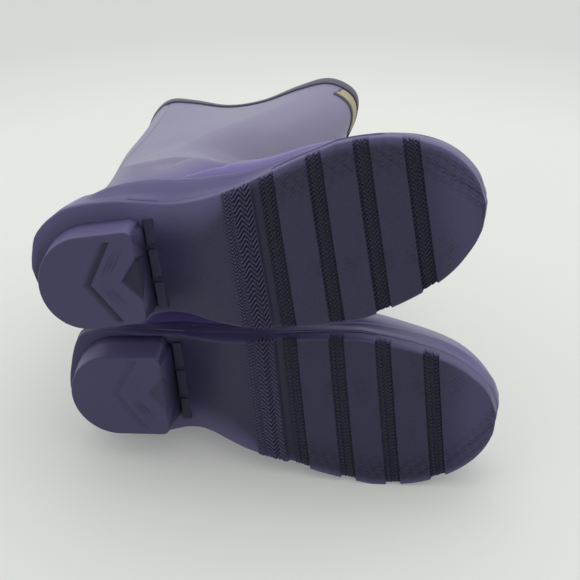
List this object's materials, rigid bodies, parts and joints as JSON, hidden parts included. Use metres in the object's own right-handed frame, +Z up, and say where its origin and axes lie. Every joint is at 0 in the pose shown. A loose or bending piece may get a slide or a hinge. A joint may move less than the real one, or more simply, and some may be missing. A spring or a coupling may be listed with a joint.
{
  "type": "pair of rubber wellington boots",
  "caption": "Pair of knee-low pull-on rubber wellington boots lying stacked on their sides, with lugged soles, block heels, edging at the leg tops and loose insoles.",
  "frame": {"origin": "bottom centre of the pair's box, on the surface it lies on", "axes": "+Z up from the surface, +X towards the toes, +Y towards the open tops of the legs; the soles face -Y"},
  "size_m": [0.305, 0.3258, 0.246],
  "materials": {
    "upper_rubber": "satin, slightly shiny purple rubber",
    "sole_rubber": "matt moulded purple-slate rubber",
    "trim_rubber": "satin purple rubber strip",
    "edge_rubber": "matt dark grey rubber edging",
    "lining_knit": "knitted cotton lining",
    "label_cloth": "bare woven cotton label",
    "insole_felt": "pressed felt",
    "fibre_board": "plain cellulose board",
    "core_foam": "closed-cell foam",
    "spring_steel": "plain steel strip",
    "stiffener_sheet": "thermoplastic sheet"
  },
  "bodies": {
    "right_boot": {"right_outsole": "sole_rubber", "right_heel_block": "sole_rubber", "right_heel_core": "core_foam", "right_midsole_filler": "core_foam", "right_shank": "spring_steel", "right_insole_board": "fibre_board", "right_counter": "upper_rubber", "right_vamp": "upper_rubber", "right_toe_cap": "upper_rubber", "right_leg": "upper_rubber", "right_toe_puff": "stiffener_sheet", "right_heel_stiffener": "stiffener_sheet", "right_foot_lining": "lining_knit", "right_leg_lining": "lining_knit", "right_foxing": "trim_rubber", "right_back_strip": "trim_rubber", "right_top_binding": "edge_rubber", "right_label": "label_cloth", "right_label_frame": "trim_rubber"},
    "left_boot": {"left_outsole": "sole_rubber", "left_heel_block": "sole_rubber", "left_heel_core": "core_foam", "left_midsole_filler": "core_foam", "left_shank": "spring_steel", "left_insole_board": "fibre_board", "left_counter": "upper_rubber", "left_vamp": "upper_rubber", "left_toe_cap": "upper_rubber", "left_leg": "upper_rubber", "left_toe_puff": "stiffener_sheet", "left_heel_stiffener": "stiffener_sheet", "left_foot_lining": "lining_knit", "left_leg_lining": "lining_knit", "left_foxing": "trim_rubber", "left_back_strip": "trim_rubber", "left_top_binding": "edge_rubber", "left_label": "label_cloth", "left_label_frame": "trim_rubber"},
    "right_insole": {"right_footbed": "insole_felt"},
    "left_insole": {"left_footbed": "insole_felt"}
  },
  "joints": [
    {"name": "left_boot_lift", "type": "slide", "parent": "right_boot", "child": "left_boot", "axis": [0, 0, 1], "range_m": [0, 0.26]},
    {"name": "right_insole_peel", "type": "hinge", "parent": "right_boot", "child": "right_insole", "pos_m": [0.14638, -0.08854, 0.07051], "axis": [0.091, 0.0197, -0.9957], "range_deg": [0, 6]},
    {"name": "left_insole_peel", "type": "hinge", "parent": "left_boot", "child": "left_insole", "pos_m": [0.13314, -0.09109, 0.1877], "axis": [0.1821, -0.1358, -0.9739], "range_deg": [0, 6]}
  ]
}
